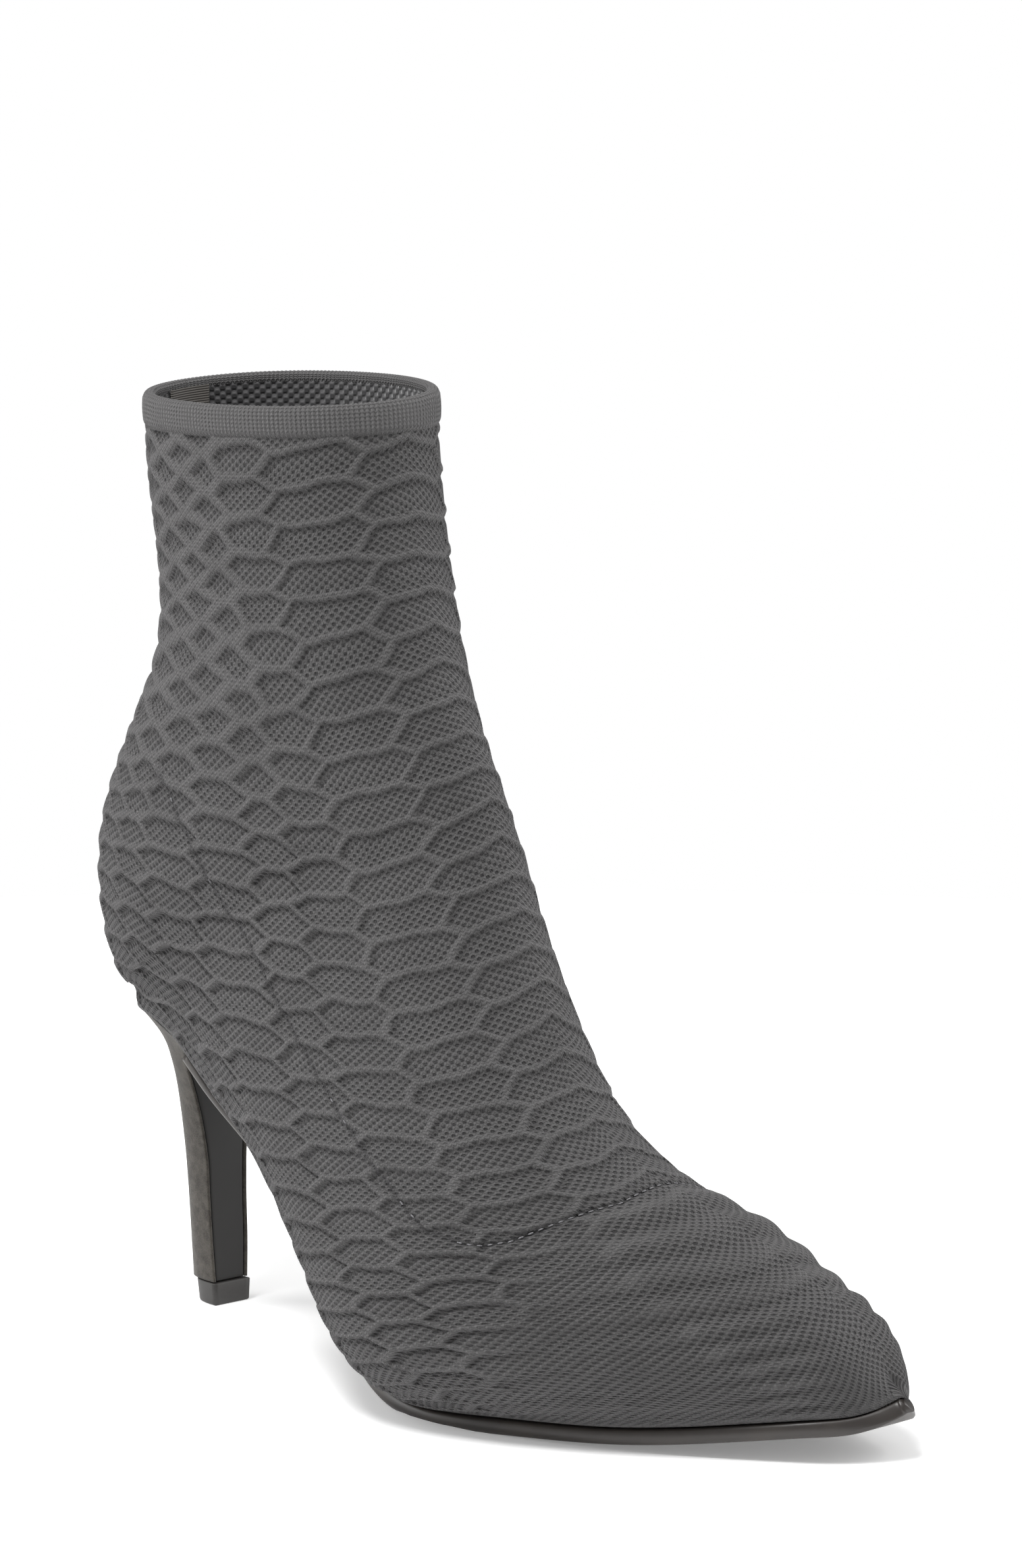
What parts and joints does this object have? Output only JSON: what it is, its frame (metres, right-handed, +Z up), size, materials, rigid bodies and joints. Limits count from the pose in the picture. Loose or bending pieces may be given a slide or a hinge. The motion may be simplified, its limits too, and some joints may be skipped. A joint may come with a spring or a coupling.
{
  "type": "knit ankle boot",
  "caption": "Pull-on ankle boot with a stretch knit upper, pointed toe, slim covered heel and thin sole; right foot.",
  "frame": {"origin": "centre of the heel tip's ground face, on the floor", "axes": "+X towards the toe, +Y to the wearer's left, which is the inner side of this right boot, +Z up"},
  "size_m": [0.2424, 0.0881, 0.2261],
  "materials": {
    "grey rib knit": "matte textured knit",
    "seam tape": "smooth ribbon",
    "insole textile": "matte",
    "sole rubber": "satin",
    "painted heel core": "satin paint",
    "heel cover microsuede": "matte microsuede",
    "heel tip polyurethane": "satin"
  },
  "bodies": {
    "root": {"upper": "grey rib knit", "seam_tape": "seam tape", "insole": "insole textile", "outsole": "sole rubber", "heel": "painted heel core", "heel_wrap": "heel cover microsuede", "heel_tip": "heel tip polyurethane"}
  },
  "joints": []
}
